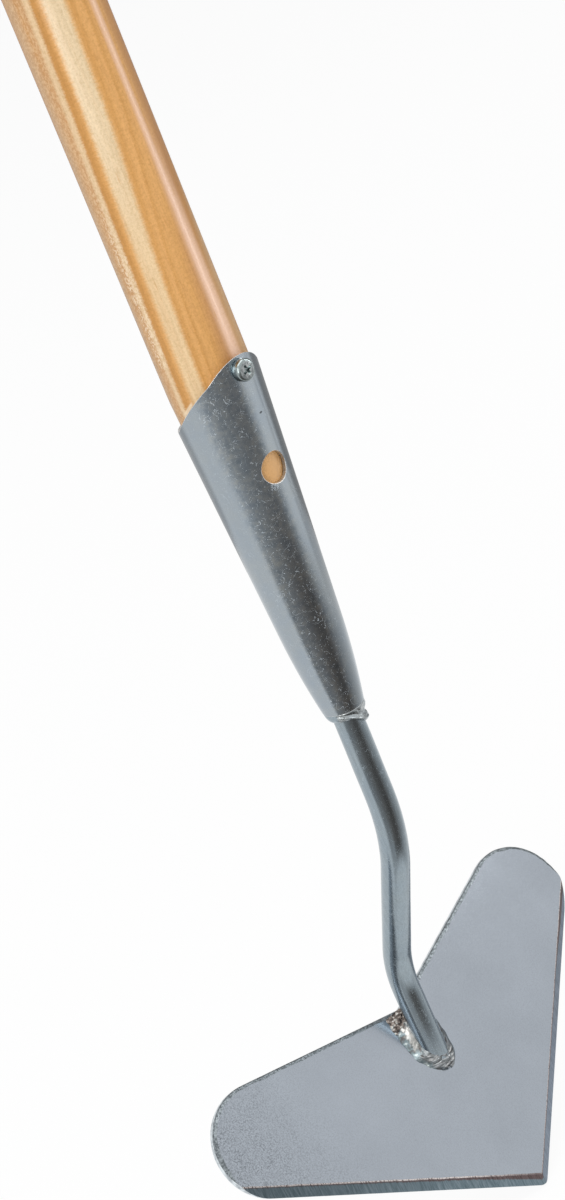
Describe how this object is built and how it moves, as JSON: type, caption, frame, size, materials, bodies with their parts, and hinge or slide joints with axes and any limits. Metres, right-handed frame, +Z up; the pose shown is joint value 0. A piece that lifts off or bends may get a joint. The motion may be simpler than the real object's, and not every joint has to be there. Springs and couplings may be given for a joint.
{
  "type": "warren hoe",
  "caption": "Long-handled warren hoe: heart-shaped bevelled blade welded to a cranked rod, in a slant-mouthed sheet socket screwed to a round wooden handle.",
  "frame": {"origin": "on the handle's axis, level with the top of the socket's tongue, where the bare handle starts", "axes": "+Z up along the handle towards its free end, +X towards the side that holds the tongue, the screw and the bevelled face, +Y sideways, with XZ as the mirror plane"},
  "size_m": [0.0686, 0.18, 1.7363],
  "materials": {
    "wood": "clear lacquer",
    "zinc_sheet": "bright zinc plating",
    "zinc_rod": "bright zinc plating",
    "zinc_blade": "satin zinc plating with ground edges",
    "screw_steel": "zinc plating",
    "weld": "rough plated weld"
  },
  "bodies": {
    "root": {"handle": "wood", "socket": "zinc_sheet", "handle_screw": "screw_steel", "neck": "zinc_rod", "socket_weld": "weld", "blade": "zinc_blade", "blade_weld": "weld"}
  },
  "joints": []
}
